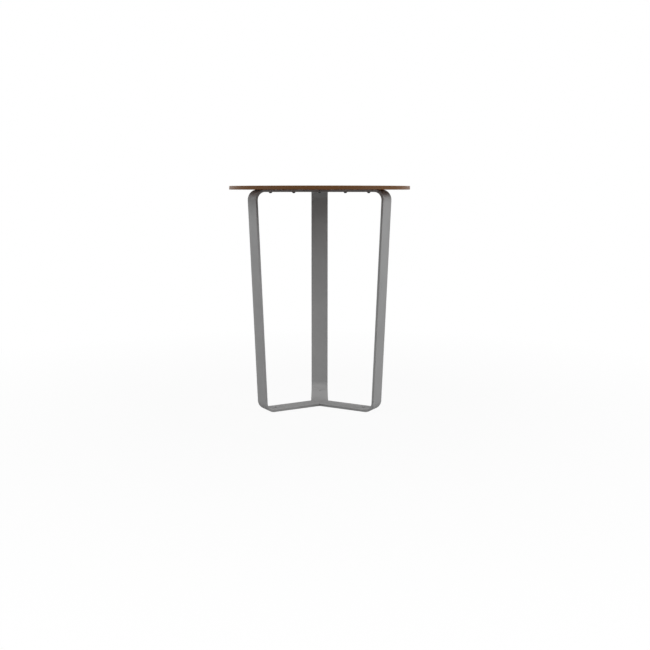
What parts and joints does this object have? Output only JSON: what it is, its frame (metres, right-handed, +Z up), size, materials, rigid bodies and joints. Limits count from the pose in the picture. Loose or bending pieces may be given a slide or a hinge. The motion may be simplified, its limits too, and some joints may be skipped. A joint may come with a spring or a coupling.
{
  "type": "round dining table",
  "caption": "Round dining table: a thin wood-grain top on bent flat bar legs that lean out a little and meet in welded hubs under the top and on the floor.",
  "frame": {"origin": "on the table's axis at the floor, under the middle of the round top", "axes": "+Z up along the table's axis, +Y along the rear leg, +X to the right of someone who faces the table from the front"},
  "size_m": [0.6099, 0.61, 0.755],
  "materials": {
    "top_panel": "satin wood-grain face over a darker brown edge",
    "powder_coat": "fine-textured silver-grey powder coat",
    "screw_black": "black zinc, satin",
    "insert_brass": "plain machined brass"
  },
  "bodies": {
    "root": {"table_top": "top_panel", "leg_rear": "powder_coat", "leg_front_left": "powder_coat", "leg_front_right": "powder_coat", "upper_weld_left": "powder_coat", "upper_weld_front": "powder_coat", "upper_weld_right": "powder_coat", "lower_weld_left": "powder_coat", "lower_weld_front": "powder_coat", "lower_weld_right": "powder_coat", "screw_rear_inner": "screw_black", "screw_rear_outer": "screw_black", "screw_front_left_inner": "screw_black", "screw_front_left_outer": "screw_black", "screw_front_right_inner": "screw_black", "screw_front_right_outer": "screw_black", "washer_rear_inner": "screw_black", "washer_rear_outer": "screw_black", "washer_front_left_inner": "screw_black", "washer_front_left_outer": "screw_black", "washer_front_right_inner": "screw_black", "washer_front_right_outer": "screw_black", "insert_rear_inner": "insert_brass", "insert_rear_outer": "insert_brass", "insert_front_left_inner": "insert_brass", "insert_front_left_outer": "insert_brass", "insert_front_right_inner": "insert_brass", "insert_front_right_outer": "insert_brass"}
  },
  "joints": []
}
